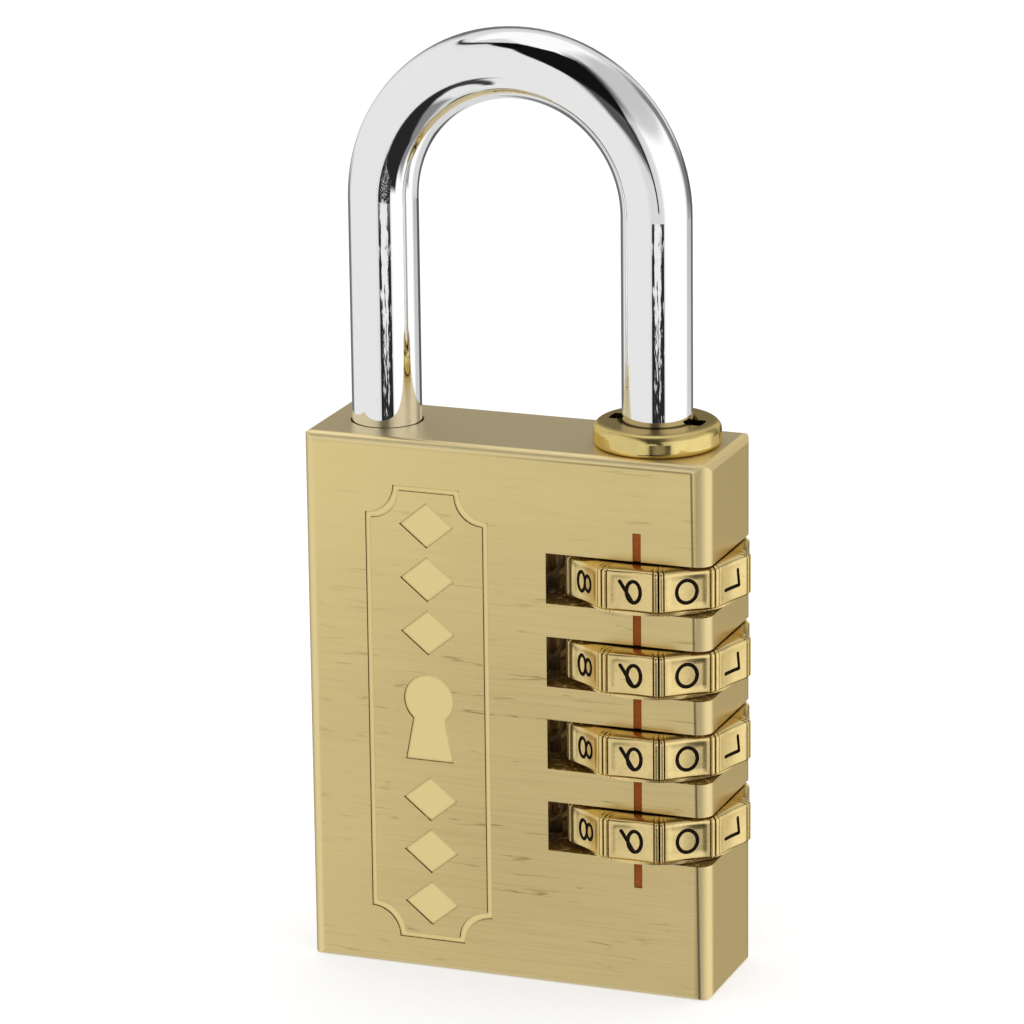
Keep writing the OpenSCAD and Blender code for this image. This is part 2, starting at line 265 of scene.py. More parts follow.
def make_studio():
    """Mirrors see the boards, and the camera and soft light see plain white."""
    world = bpy.data.worlds.new("studio")
    bpy.context.scene.world = world
    world.use_nodes = True
    graph = Graph(world.node_tree)
    azimuth, elevation = studio_direction(graph)
    level = ROOM_LEVEL
    for name, middle, corners, soft, brightness in BOARDS:
        mask = board_mask(graph, azimuth, elevation, middle, corners, soft)
        if name == CLUTTER:
            brightness = clutter(graph, azimuth, elevation, brightness)
        level = graph.blend(mask, level, brightness)
    seen = graph.node("ShaderNodeBackground", Color=grey(1.0), Strength=1.0)
    mirrored = graph.node("ShaderNodeBackground", Color=grey(1.0), Strength=level)
    ray = graph.node("ShaderNodeLightPath")
    chosen = graph.node("ShaderNodeMixShader")
    graph.feed(chosen.inputs[0], ray.outputs["Is Glossy Ray"])
    graph.feed(chosen.inputs[1], seen.outputs[0])
    graph.feed(chosen.inputs[2], mirrored.outputs[0])
    graph.node("ShaderNodeOutputWorld", Surface=chosen.outputs[0])
    world.cycles.sampling_method = "MANUAL"
    world.cycles.sample_map_resolution = 1024


FLOOR_SIDE = 4.0
FLOOR_GAP = 0.05 * MM
PAPER_DARK, PAPER_LIGHT = 0.59, 0.61
PAPER_GLOW = 0.5


def make_floor():
    """A white table, seen from above only, so that the underside can be looked at too."""
    mesh = bpy.data.meshes.new("floor")
    half = FLOOR_SIDE / 2
    corners = [(-half, -half), (half, -half), (half, half), (-half, half)]
    mesh.from_pydata([(x, y, -FLOOR_GAP) for x, y in corners], [], [(0, 1, 2, 3)])
    floor = bpy.data.objects.new("floor", mesh)
    bpy.context.scene.collection.objects.link(floor)
    material = bpy.data.materials.new("white_table")
    material.use_nodes = True
    graph = Graph(material.node_tree)
    place = graph.node("ShaderNodeTexCoord").outputs["Object"]
    grain = graph.ramp(graph.noise(place, 900.0), 0.3, 0.7, PAPER_DARK, PAPER_LIGHT)
    paper = graph.node("ShaderNodeBsdfDiffuse")
    graph.feed(paper.inputs["Color"], graph.node(
        "ShaderNodeCombineColor", Red=grain, Green=grain, Blue=grain).outputs[0])
    glow = graph.node("ShaderNodeEmission", Color=grey(1.0), Strength=PAPER_GLOW)
    lit = graph.node("ShaderNodeAddShader")
    graph.feed(lit.inputs[0], paper.outputs[0])
    graph.feed(lit.inputs[1], glow.outputs[0])
    below = graph.node("ShaderNodeNewGeometry").outputs["Backfacing"]
    sided = graph.node("ShaderNodeMixShader")
    graph.feed(sided.inputs[0], below)
    graph.feed(sided.inputs[1], lit.outputs[0])
    graph.feed(sided.inputs[2], graph.node("ShaderNodeBsdfTransparent").outputs[0])
    graph.node("ShaderNodeOutputMaterial", Surface=sided.outputs[0])
    mesh.materials.append(material)
    floor.visible_glossy = False


bpy.context.scene.view_settings.view_transform = "Standard"
make_studio()
make_floor()


# ---------------------------------------------------------------- materials

def surface(name):
    """A new material with one Principled shader, and the graph to drive it."""
    material = bpy.data.materials.new(name)
    material.use_nodes = True
    graph = Graph(material.node_tree)
    shader = graph.node("ShaderNodeBsdfPrincipled")
    graph.node("ShaderNodeOutputMaterial", Surface=shader.outputs[0])
    return material, graph, shader


def places(graph):
    """Object coordinates in millimetres, and the object-space normal."""
    coords = graph.node("ShaderNodeTexCoord")
    place = graph.stretched(coords.outputs["Object"], (1 / MM, 1 / MM, 1 / MM))
    return place, coords.outputs["Normal"]


def roughen(graph, shader, height, depth_mm, strength=1.0):
    """Feeds a height from 0 to 1 into the shader's bump."""
    bump = graph.node("ShaderNodeBump", Height=height, Strength=strength)
    bump.inputs["Distance"].default_value = depth_mm * MM
    graph.feed(shader.inputs["Normal"], bump.outputs[0])


BRASS_LIGHT = (0.76, 0.60, 0.285, 1.0)
BRASS_DARK = (0.66, 0.515, 0.235, 1.0)
BRASS_FLOOR = (0.90, 0.73, 0.33, 1.0)
BRASS_EDGE = (0.97, 0.80, 0.43, 1.0)
# Painted light: the top faces are drawn lighter and paler
BRASS_TOP_PAINTED_LIGHT = (0.82, 0.70, 0.42, 1.0)
BRASS_GRAZING = (0.88, 0.76, 0.54, 1.0)
# Dark brass: patina in the scratches, and painted shade in creases, along edges and under parts
PATINA_AND_SHADE = (0.080, 0.047, 0.013, 1.0)
# Painted shade inside the block's windows and bores
INSIDE_PAINTED_SHADE = (0.16, 0.085, 0.014, 1.0)
DIAL_LIGHT = (0.93, 0.735, 0.345, 1.0)
DIAL_DARK = (0.81, 0.625, 0.265, 1.0)
COLLAR_DARK = (0.74, 0.58, 0.22, 1.0)
COLLAR_LIGHT = (0.84, 0.67, 0.27, 1.0)
COLLAR_TOP = (0.52, 0.41, 0.19, 1.0)
CHROME_DARK = (0.965, 0.968, 0.972, 1.0)
CHROME_LIGHT = (0.985, 0.986, 0.99, 1.0)
STEEL_DARK = (0.26, 0.24, 0.21, 1.0)
STEEL_LIGHT = (0.46, 0.43, 0.39, 1.0)
RED_DARK = (0.235, 0.058, 0.010, 1.0)
RED_LIGHT = (0.33, 0.085, 0.015, 1.0)
INK_DARK = (0.008, 0.005, 0.003, 1.0)
INK_LIGHT = (0.02, 0.012, 0.007, 1.0)
# Painted light inside the block: brighter brass for glints and deeper walls
INSIDE_PAINTED_LIGHT = (0.95, 0.66, 0.24, 1.0)


def between(graph, value, low, high, soft):
    """1 from low to high, fading to 0 over a width outside them."""
    return graph.times(graph.ramp(value, low - soft, low), graph.ramp(value, high + soft, high))


# Places on the brass block, in millimetres
SKIN = 0.55              # the inside of the block begins this far behind its outer faces
FRONT_LAYER = 0.5        # the part of the block that counts as its front reaches this far back
LEVEL_INSET = 1.0        # the level part of the front ends this far from the left, top and bottom
LEVEL_INSET_RIGHT = 2.0
FLOOR_FROM, FLOOR_TO = 0.08, 0.2     # depths between which the engraved floors lie
LINE_DROP = 0.75         # the thin line runs this far below the top edge
LINE_INSET = 0.93        # and this far from the right edge, at the bottom
LINE_LEAN = 0.0136       # its upright part moves away from the edge by this much per millimetre up
LINE_HALF = 0.15
CREASE_REACH = 0.3
ROUND_FROM, ROUND_TO = 1.5, 1.3      # the big round of the right edge starts here, from the right


class BlockPlaces:
    """Masks that say where a point of the brass block lies."""

    def __init__(self, graph):
        self.place, normal = places(graph)
        self.x, self.y, self.z = graph.axes(self.place)
        lo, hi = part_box("lock_body")
        self.left, self.front, self.bottom = lo / MM
        self.right, self.back, self.top = hi / MM
        nx, ny, nz = [graph.math("ABSOLUTE", part) for part in graph.axes(normal)]
        self.faces_side, self.faces_front, self.faces_top = [
            graph.ramp(part, 0.93, 0.995) for part in (nx, ny, nz)]
        self.flat = graph.ramp(graph.math("MAXIMUM", graph.math("MAXIMUM", ny, nx), nz), 0.96, 0.999)
        self.near_front = graph.ramp(self.y, self.front + FRONT_LAYER, self.front + FRONT_LAYER - 0.1)
        self.level_part = graph.times(
            between(graph, self.x, self.left + LEVEL_INSET, self.right - LEVEL_INSET_RIGHT, 0.2),
            between(graph, self.z, self.bottom + LEVEL_INSET, self.top - LEVEL_INSET, 0.2))
        depth = between(graph, self.y, self.front + FLOOR_FROM, self.front + FLOOR_TO, 0.05)
        self.sunk = graph.times(depth, self.level_part)
        self.level_walls = graph.ramp(nz, 0.6, 0.8)
        self.upright_walls = graph.ramp(nz, 0.8, 0.6)
        self.inner = self.inside(graph)

    def inside(self, graph):
        """1 on the walls inside the windows and bores, and 0 on the outer faces."""
        deep = 1.0
        for value, low, high in ((self.x, self.left, self.right), (self.y, self.front, self.back),
                                 (self.z, self.bottom, self.top)):
            deep = graph.times(deep, between(graph, value, low + SKIN, high - SKIN, 0.06))
        ledge = graph.times(self.level_walls,
                            between(graph, self.z, self.bottom + 2, self.top - 1, 0.5))
        return graph.math("MAXIMUM", deep, ledge)


def brush_marks(graph, at):
    """Long brushed streaks and wavy scores on the front and the back, and a satin elsewhere."""
    long_streaks = graph.noise(graph.stretched(at.place, (0.09, 3.0, 9.0)), 1.0, 3.0, 0.7)
    fine_streaks = graph.noise(graph.stretched(at.place, (0.35, 8.0, 34.0)), 1.0, 2.0, 0.6)
    scratches = graph.noise(graph.stretched(at.place, (0.05, 2.0, 3.4)), 1.0, 4.0, 0.75)
    waves = graph.noise(graph.stretched(at.place, (0.045, 1.0, 0.8)), 1.0, 3.0, 0.45)
    waves = graph.math("ABSOLUTE", graph.minus(waves, 0.5))
    broken = graph.noise(graph.stretched(at.place, (0.10, 1.0, 0.9)), 1.7, 3.0, 0.6)
    scores = graph.times(graph.ramp(waves, 0.016, 0.004), graph.ramp(broken, 0.46, 0.58))
    haze = graph.noise(graph.stretched(at.place, (0.05, 0.05, 0.1)), 1.0, 2.0)
    streaks = graph.blend(0.2, graph.ramp(long_streaks, 0.3, 0.7), graph.ramp(fine_streaks, 0.25, 0.75))
    streaks = graph.blend(0.4, streaks, graph.ramp(scratches, 0.35, 0.55))
    streaks = graph.minus(streaks, graph.times(scores, 1.3))
    satin = graph.noise(at.place, 9.0, 3.0)
    pattern = graph.blend(at.faces_front, graph.ramp(satin, 0.3, 0.7, 0.4, 0.7), streaks)
    pattern = graph.blend(0.25, pattern, graph.ramp(haze, 0.3, 0.7))
    return pattern, graph.blend(0.5, satin, fine_streaks)


def rim_line(graph, at):
    """1 on the thin line that runs along the top and the right edge of the front."""
    inset = graph.math("MULTIPLY_ADD", at.z, -LINE_LEAN, at.right - LINE_INSET)
    off = graph.minus(at.x, inset)
    upright = graph.times(graph.ramp(graph.math("ABSOLUTE", off), LINE_HALF + 0.02, 0.03),
                          graph.ramp(at.z, at.top - LINE_DROP + 0.07, at.top - LINE_DROP - 0.03))
    below = graph.math("ABSOLUTE", graph.minus(at.z, at.top - LINE_DROP))
    level = graph.times(graph.ramp(below, LINE_HALF, 0.03), graph.ramp(off, 0.07, -0.03))
    level = graph.times(level, graph.ramp(at.x, at.left + 12, at.right - 6, 0.12, 0.75))
    return graph.math("MAXIMUM", upright, level)


def outer_colour(graph, at, pattern):
    """The block's colour outside: brushed, lighter on edges and floors, with painted highlight on the
    rounds and painted light on the top, and painted shade in the creases and along the left edge.
    """
    colour = graph.tint(graph.math("MAXIMUM", pattern, 0.0), BRASS_DARK, BRASS_LIGHT)
    colour = graph.tint(graph.ramp(pattern, 0.0, -0.8, 0.0, 0.5), colour, PATINA_AND_SHADE)
    colour = graph.tint(graph.times(at.faces_side, 0.55), colour, BRASS_EDGE)
    # Painted light: the top faces take a lighter, paler brass
    colour = graph.tint(graph.times(at.faces_top, 0.8), colour, BRASS_TOP_PAINTED_LIGHT)
    # The rounded edges take the light edge brass: partly polish, partly a painted highlight
    colour = graph.tint(at.flat, BRASS_EDGE, colour)
    # The front is lighter towards its left and towards its top.
    lighter_top_left = graph.add(graph.ramp(at.x, 2, at.left, 0.0, 0.4), graph.ramp(at.z, 26, at.top - 2, 0.0, 0.55))
    colour = graph.tint(graph.times(lighter_top_left, at.faces_front), colour, BRASS_FLOOR)
    colour = graph.tint(at.sunk, colour, BRASS_FLOOR)
    # Painted shade: ambient occlusion darkens the creases of the front
    crease_shade = graph.node("ShaderNodeAmbientOcclusion", {"samples": 4, "only_local": True},
                        Distance=CREASE_REACH * MM).outputs["AO"]
    crease_shade = graph.times(graph.ramp(crease_shade, 0.86, 0.60), graph.times(at.near_front, at.level_part))
    colour = graph.tint(graph.times(crease_shade, 0.8), colour, PATINA_AND_SHADE)
    rim = graph.times(rim_line(graph, at), at.near_front)
    colour = graph.tint(graph.times(rim, 0.75), colour, PATINA_AND_SHADE)
    from_left = graph.minus(at.x, at.left)
    left_shade = graph.add(graph.ramp(from_left, 1.1, 0.0, 0.0, 0.25),
                           graph.ramp(from_left, 0.35, 0.0, 0.0, 0.5))
    return graph.tint(graph.times(left_shade, at.near_front), colour, PATINA_AND_SHADE)


def inner_colour(graph, at):
    """The colour inside the block: painted shade, with painted glints and upright walls painted brighter
    further back in the windows.
    """
    # Painted glints, and painted light on the upright walls deeper in the windows
    glints = graph.ramp(graph.noise(at.place, 1.7, 4.0, 0.7), 0.52, 0.68, 0.0, 0.8)
    behind = graph.times(graph.ramp(at.y, at.front + 0.2, at.front + 1.9), at.upright_walls)
    in_windows = between(graph, at.x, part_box("dial_1")[0].x / MM - 2, at.right - 5, 1.0)
    bright = graph.math("MAXIMUM", glints, graph.times(behind, in_windows))
    return graph.tint(bright, INSIDE_PAINTED_SHADE, INSIDE_PAINTED_LIGHT)


def body_brass():
    """The block's brass: brushed outside, and dull inside, with painted shade there."""
    material, graph, shader = surface("brushed_brass")
    at = BlockPlaces(graph)
    pattern, relief = brush_marks(graph, at)
    outside = outer_colour(graph, at, pattern)
    graph.feed(shader.inputs["Base Color"], graph.tint(at.inner, outside, inner_colour(graph, at)))
    graph.feed(shader.inputs["Metallic"], graph.ramp(at.inner, 0.0, 1.0, 1.0, 0.15))
    shader.inputs["Specular IOR Level"].default_value = 0.12
    # Painted light: a white specular tint brightens the top faces
    tint = graph.tint(at.faces_top, BRASS_GRAZING, grey(1.0))
    graph.feed(shader.inputs["Specular Tint"], tint)
    rough = graph.ramp(pattern, 0.0, 1.0, 0.36, 0.28)
    rough = graph.blend(at.faces_top, rough, 0.42)
    edge_rough = graph.ramp(at.x, at.right - ROUND_FROM, at.right - ROUND_TO, 0.36, 0.55)
    rough = graph.blend(at.flat, edge_rough, rough)
    rough = graph.blend(at.sunk, rough, 0.16)
    graph.feed(shader.inputs["Roughness"], rough)
    roughen(graph, shader, relief, 0.003, 0.4)
    return material


def plain_metal(name, dark, light, rough_low, rough_high, grain, depth_mm=0.002):
    """A metal with a fine isotropic grain."""
    material, graph, shader = surface(name)
    shader.inputs["Metallic"].default_value = 1.0
    place, _ = places(graph)
    fine = graph.ramp(graph.noise(place, grain, 3.0), 0.3, 0.7)
    broad = graph.ramp(graph.noise(place, 0.4, 2.0), 0.3, 0.7)
    pattern = graph.blend(0.4, fine, broad)
    graph.feed(shader.inputs["Base Color"], graph.tint(pattern, dark, light))
    graph.feed(shader.inputs["Roughness"], graph.ramp(pattern, 0, 1, rough_high, rough_low))
    roughen(graph, shader, fine, depth_mm, 0.4)
    return material


COLLAR_FOOT = 0.45      # the painted contact shadow at the bottom of the collar, in millimetres above its lowest point
COLLAR_BORE_R = 3.8     # the painted shade in the collar's bore reaches out to here


def turned_brass():
    """Polished brass with faint lathe lines round the dial axis, satin on its flat top, with painted
    shade low down and in its bore.
    """
    material, graph, shader = surface("turned_brass")
    shader.inputs["Metallic"].default_value = 1.0
    shader.inputs["Specular Tint"].default_value = BRASS_GRAZING
    place, normal = places(graph)
    x, y, z = graph.axes(place)
    up = graph.ramp(graph.axes(normal)[2], 0.8, 0.98)
    lo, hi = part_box("shackle_collar")
    axis_x = (lo.x + hi.x) / 2 / MM
    out = graph.math("POWER", graph.minus(x, axis_x), 2.0)
    out = graph.math("SQRT", graph.add(out, graph.math("POWER", y, 2.0)))
    rings = graph.node("ShaderNodeCombineXYZ", X=graph.times(out, 14.0), Y=graph.times(z, 14.0))
    lines = graph.ramp(graph.noise(rings.outputs[0], 1.0, 2.0), 0.3, 0.7)
    cloud = graph.ramp(graph.noise(place, 0.8, 3.0), 0.3, 0.7)
    pattern = graph.blend(0.5, lines, cloud)
    colour = graph.tint(pattern, COLLAR_DARK, COLLAR_LIGHT)
    colour = graph.tint(up, colour, COLLAR_TOP)
    # Painted shade: a contact shadow along the bottom, and shade in the bore round the leg
    contact_shade = graph.ramp(z, lo.z / MM + COLLAR_FOOT, lo.z / MM + COLLAR_FOOT - 0.3)
    bore = graph.ramp(out, COLLAR_BORE_R, COLLAR_BORE_R - 0.2)
    colour = graph.tint(graph.math("MAXIMUM", contact_shade, bore), colour, PATINA_AND_SHADE)
    graph.feed(shader.inputs["Base Color"], colour)
    rough = graph.ramp(pattern, 0, 1, 0.15, 0.09)
    rounded = graph.ramp(graph.axes(normal)[2], 0.1, 0.6)
    rough = graph.blend(rounded, rough, 0.27)
    graph.feed(shader.inputs["Roughness"], graph.blend(up, rough, 0.36))
    roughen(graph, shader, lines, 0.001, 0.4)
    return material


def chrome():
    """Mirror chrome with a trace of cloudiness and polishing hairs."""
    material, graph, shader = surface("chrome")
    shader.inputs["Metallic"].default_value = 1.0
    place, _ = places(graph)
    cloud = graph.ramp(graph.noise(place, 0.7, 3.0), 0.3, 0.7)
    graph.feed(shader.inputs["Base Color"],
               graph.tint(cloud, CHROME_DARK, CHROME_LIGHT))
    hair = graph.noise(graph.stretched(place, (6.0, 6.0, 0.4)), 1.0, 4.0)
    graph.feed(shader.inputs["Roughness"], graph.ramp(hair, 0.3, 0.8, 0.004, 0.016))
    return material


def paint(name, dark, light, rough):
    """A dull paint with a coarse grain."""
    material, graph, shader = surface(name)
    place, _ = places(graph)
    grain = graph.ramp(graph.noise(place, 5.0, 4.0, 0.7), 0.3, 0.7)
    graph.feed(shader.inputs["Base Color"], graph.tint(grain, dark, light))
    graph.feed(shader.inputs["Roughness"], graph.ramp(grain, 0, 1, rough, rough + 0.15))
    shader.inputs["Specular IOR Level"].default_value = 0.06
    roughen(graph, shader, grain, 0.02, 0.5)
    return material


def dress(node, material):
    """Gives a CAD node its material."""
    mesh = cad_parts[node].data
    mesh.materials.clear()
    mesh.materials.append(material)


# ---------------------------------------------------------------- dials

DIALS = 4
DIGITS = 10
SECTOR = TAU / DIGITS
DIGIT_TURN = math.radians(1.5)
DIAL_FOOT_H = 0.52
DIAL_FOOT_R = 7.6
DIAL_HOLE_R = 4.5
DIAL_BORE_R = 5.26
NOTCH_R = 6.0
NOTCH_W = 1.5
COUNTERBORE_R = 6.05
COUNTERBORE_TOP = 2.1
SHOULDER_IN = 1.0     # how far the rounded upper shoulder of the rim reaches in
SHOULDER_H = 0.45
LOW_CHAMFER = 0.25
# Across half a sector, from the middle of a rib pair: distance and depth below the rim
RIB_PROFILE = ((0.0, 0.30), (0.10, 0.03), (0.16, 0.0), (0.36, 0.0), (0.42, 0.04),
               (0.50, 0.34), (0.58, 0.14))
PANEL_DISH = 0.36     # how much deeper the middle of a panel lies than its sides
FRAME_MIDDLE = 0.75
FRAME_IN = 0.92       # where the panel's raised frame ends and its sunk floor begins
FRAME_H = 0.2
FLOOR_STEP = 0.042
BEVEL_W = 0.18
SHOULDER_STEPS = 6
ENGRAVED = 0.13       # depth of the digits
CUTTER_OVER = 0.3     # how far the digit cutters stand out of the rim
STROKE_W = 0.36
DIGIT_W = 2.15
DIGIT_H = 1.95


def dial_sizes():
    """Axis, rim radius, base height and rim height of the first dial, in millimetres."""
    lo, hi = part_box("dial_1")
    washer_lo, washer_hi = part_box("thrust_washer")
    axis = (washer_lo.x + washer_hi.x) / 2 / MM
    base = lo.z / MM + DIAL_FOOT_H
    return axis, hi.x / MM - axis, base, hi.z / MM - base


DIAL_AXIS, RIM_R, DIAL_BASE, RIM_H = dial_sizes()
HALF_SECTOR = RIM_R * SECTOR / 2


def step(value, low, high):
    """0 below low, 1 above high, and a straight slope between them."""
    return min(1.0, max(0.0, (value - low) / (high - low)))


def rim_envelope(height):
    """Radius over the ribs at a height above the dial's base."""
    if height > RIM_H - SHOULDER_H:
        rise = min(1.0, (height - RIM_H + SHOULDER_H) / SHOULDER_H)
        return RIM_R - SHOULDER_IN * (1 - math.sqrt(1 - rise * rise))
    return RIM_R - LOW_CHAMFER * (1 - step(height, 0, LOW_CHAMFER))


def rim_radius(across, height):
    """Radius at a distance from the nearest rib pair's middle and a height."""
    last_across, last_depth = RIB_PROFILE[-1]
    if across >= last_across:
        share = (across - last_across) / (HALF_SECTOR - last_across)
        depth = last_depth + PANEL_DISH * math.sin(min(1.0, share) * math.pi / 2)
    else:
        pairs = zip(RIB_PROFILE, RIB_PROFILE[1:])
        (a0, d0), (a1, d1) = next(p for p in pairs if p[0][0] <= across <= p[1][0])
        depth = d0 + (d1 - d0) * (across - a0) / (a1 - a0)
    low, high = LOW_CHAMFER + FRAME_H, RIM_H - SHOULDER_H - FRAME_H
    sunk = min(step(across, FRAME_IN, FRAME_IN + BEVEL_W), step(height, low, low + BEVEL_W),
               1 - step(height, high - BEVEL_W, high))
    return rim_envelope(height) - depth - FLOOR_STEP * sunk


def rim_columns():
    """Angles round the dial with their distance from the nearest rib pair's middle."""
    across = [a for a, _ in RIB_PROFILE] + [FRAME_MIDDLE, FRAME_IN, FRAME_IN + BEVEL_W]
    inner_steps = 7
    start = across[-1]
    across += [start + (HALF_SECTOR - start) * k / inner_steps for k in range(1, inner_steps + 1)]
    across += [a for a in reversed(across[1:-1])]
    columns = []
    for sector in range(DIGITS):
        edge = DIGIT_TURN - math.pi / 2 + (sector - 0.5) * SECTOR
        for k, a in enumerate(across):
            turned = a if k * 2 <= len(across) else 2 * HALF_SECTOR - a
            columns.append((edge + turned / RIM_R, a))
    return columns


def rim_heights():
    """Heights above the dial's base at which the rim has a row of points."""
    low, high = LOW_CHAMFER + FRAME_H, RIM_H - SHOULDER_H - FRAME_H
    floor_low, floor_high = low + BEVEL_W, high - BEVEL_W
    floor_steps = 8
    heights = [0.0, LOW_CHAMFER, low]
    heights += [floor_low + (floor_high - floor_low) * k / floor_steps
                for k in range(floor_steps + 1)]
    heights += [high, RIM_H - SHOULDER_H]
    heights += [RIM_H - SHOULDER_H + SHOULDER_H * math.sin(math.pi / 2 * k / SHOULDER_STEPS)
                for k in range(1, SHOULDER_STEPS + 1)]
    return heights


def mesh_from(name, build):
    """A mesh that the given function fills, with its faces turned outwards."""
    shape = bmesh.new()
    build(shape)
    bmesh.ops.recalc_face_normals(shape, faces=shape.faces)
    mesh = bpy.data.meshes.new(name)
    shape.to_mesh(mesh)
    shape.free()
    return mesh


def bridge(shape, ring, following):
    """Joins two closed rows of as many vertices."""
    count = len(ring)
    for k in range(count):
        after = (k + 1) % count
        shape.faces.new((ring[k], ring[after], following[after], following[k]))


def polar(radius, angle, height):
    """A point from its place round the dial's axis."""
    return Vector((radius * math.cos(angle), radius * math.sin(angle), height))


def dial_blank(shape):
    """A ring with the ribbed rim outside and a plain hole inside."""
    columns = rim_columns()

    def row(radius_of, height):
        return [shape.verts.new(polar(radius_of(across), angle, height))
                for angle, across in columns]

    rows = [row(lambda a: DIAL_HOLE_R, -DIAL_FOOT_H), row(lambda a: DIAL_FOOT_R, -DIAL_FOOT_H),
            row(lambda a: DIAL_FOOT_R, 0.0)]
    rows += [row(lambda a, h=h: rim_radius(a, h), h) for h in rim_heights()]
    rows.append(row(lambda a: DIAL_HOLE_R, RIM_H))
    for ring, following in zip(rows, rows[1:] + rows[:1]):
        bridge(shape, ring, following)


def prism(shape, outline, low, high):
    """An upright prism over a closed outline of (x, y) points."""
    rings = [[shape.verts.new((x, y, z)) for x, y in outline] for z in (low, high)]
    bridge(shape, *rings)
    shape.faces.new(rings[0])
    shape.faces.new(rings[1])


def dial_bore(shape):
    """The bore with its ten notches, and the wider space under them."""
    over = 1.0
    notched, arc_steps = [], 5
    half_notch = NOTCH_W / 2
    for k in range(DIGITS):
        middle = k * SECTOR
        for side in (-1, 1):
            reach = (NOTCH_R, DIAL_BORE_R) if side > 0 else (DIAL_BORE_R, NOTCH_R)
            for radius in reach:
                turn = middle + side * math.asin(half_notch / radius)
                notched.append(polar(radius, turn, 0).xy)
        start = middle + math.asin(half_notch / DIAL_BORE_R)
        gap = SECTOR - 2 * math.asin(half_notch / DIAL_BORE_R)
        notched += [polar(DIAL_BORE_R, start + gap * j / arc_steps, 0).xy
                    for j in range(1, arc_steps)]
    prism(shape, notched, -DIAL_FOOT_H - over, RIM_H + over)
    sides = 96
    circle = [polar(COUNTERBORE_R, TAU * k / sides, 0).xy for k in range(sides)]
    prism(shape, circle, -DIAL_FOOT_H - over, COUNTERBORE_TOP)


def arc(x, y, across, up, start, end, steps=20):
    """Points of an elliptical arc; angles in degrees, anticlockwise."""
    turns = [math.radians(start + (end - start) * k / steps) for k in range(steps + 1)]
    return [(x + across * math.cos(t), y + up * math.sin(t)) for t in turns]


def line(x0, y0, x1, y1, steps=6):
    """Evenly spaced points from one point to another."""
    return [(x0 + (x1 - x0) * k / steps, y0 + (y1 - y0) * k / steps) for k in range(steps + 1)]


def digit_strokes(digit):
    """Centre lines of a digit in a unit square, (x to its right, y to its top)."""
    nine = [arc(0, 0.16, 0.47, 0.34, 0, 360, 30), line(0.47, 0.12, -0.44, -0.5)]
    return {
        0: [arc(0, 0, 0.5, 0.5, 0, 360, 36)],
        1: [line(-0.44, 0.46, 0.26, 0.56), line(0.26, 0.56, 0.26, -0.56, 8)],
        2: [arc(0, 0.2, 0.42, 0.3, 165, -30), line(0.36, 0.05, -0.42, -0.5),
            line(-0.42, -0.5, 0.45, -0.5)],
        3: [arc(0, 0.26, 0.36, 0.24, 150, -90), arc(0, -0.24, 0.42, 0.26, 90, -150)],
        4: [line(0.2, -0.5, 0.2, 0.5, 8), line(0.2, 0.5, -0.45, -0.2), line(-0.45, -0.2, 0.45, -0.2)],
        5: [line(0.38, 0.5, -0.32, 0.5), line(-0.32, 0.5, -0.36, 0.04, 4),
            arc(0.0, -0.18, 0.44, 0.32, 145, -150)],
        6: [[(-x, -y) for x, y in stroke] for stroke in nine],
        7: [line(-0.44, 0.5, 0.44, 0.5), line(0.44, 0.5, -0.12, -0.5, 8)],
        8: [arc(0, 0.26, 0.34, 0.24, 0, 360, 26), arc(0, -0.24, 0.43, 0.26, 0, 360, 30)],
        9: nine,
    }[digit]


def stroke_outline(points):
    """Left and right edges of a stroke, and the two round ends of an open one."""
    closed = math.dist(points[0], points[-1]) < 1e-6
    path = [Vector(p) for p in (points[:-1] if closed else points)]
    half = STROKE_W / 2
    left, right = [], []
    for k, here in enumerate(path):
        before = path[k - 1] if closed or k else here
        after = path[(k + 1) % len(path)] if closed or k + 1 < len(path) else here
        side = (after - before).normalized().orthogonal() * half
        left.append(here + side)
        right.append(here - side)
    return path, left, right, closed


def engraver(shape, angle, strokes):
    """Solids that cut one digit into the panel at an angle, to an even depth."""
    panel_r = RIM_R - RIB_PROFILE[-1][1] - PANEL_DISH
    middle = (LOW_CHAMFER + RIM_H - SHOULDER_H) / 2

    def place(point, outside):
        """The digit's top points round the dial and its right side points down."""
        along, height = point[1], middle - point[0]
        across = HALF_SECTOR - abs(along)
        radius = RIM_R + CUTTER_OVER if outside else rim_radius(across, height) - ENGRAVED
        return shape.verts.new(polar(radius, angle + along / panel_r, height))

    cap_steps = 8
    for stroke in strokes:
        scaled = [(x * DIGIT_W, y * DIGIT_H) for x, y in stroke]
        path, left, right, closed = stroke_outline(scaled)
        sides = [[place(p, outside) for p in edge] for edge in (left, right) for outside in (0, 1)]
        left_in, left_out, right_in, right_out = sides
        count = len(path)
        for k in range(count if closed else count - 1):
            after = (k + 1) % count
            for a, b in ((left_in, left_out), (left_out, right_out), (right_out, right_in),
                         (right_in, left_in)):
                shape.faces.new((a[k], a[after], b[after], b[k]))
        if closed:
            continue
        for end in (0, -1):
            spoke = left[end] - path[end]
            sign = 1 if end == 0 else -1
            round_end = [path[end] + Matrix.Rotation(sign * math.pi * k / cap_steps, 2) @ spoke
                         for k in range(1, cap_steps)]
            rims = []
            for outside, first, last in ((0, left_in, right_in), (1, left_out, right_out)):
                rim = [first[end]] + [place(p, outside) for p in round_end] + [last[end]]
                for a, b in zip(rim[1:], rim[2:]):
                    shape.faces.new((rim[0], a, b))
                rims.append(rim)
            for k in range(cap_steps):
                shape.faces.new((rims[0][k], rims[0][k + 1], rims[1][k + 1], rims[1][k]))


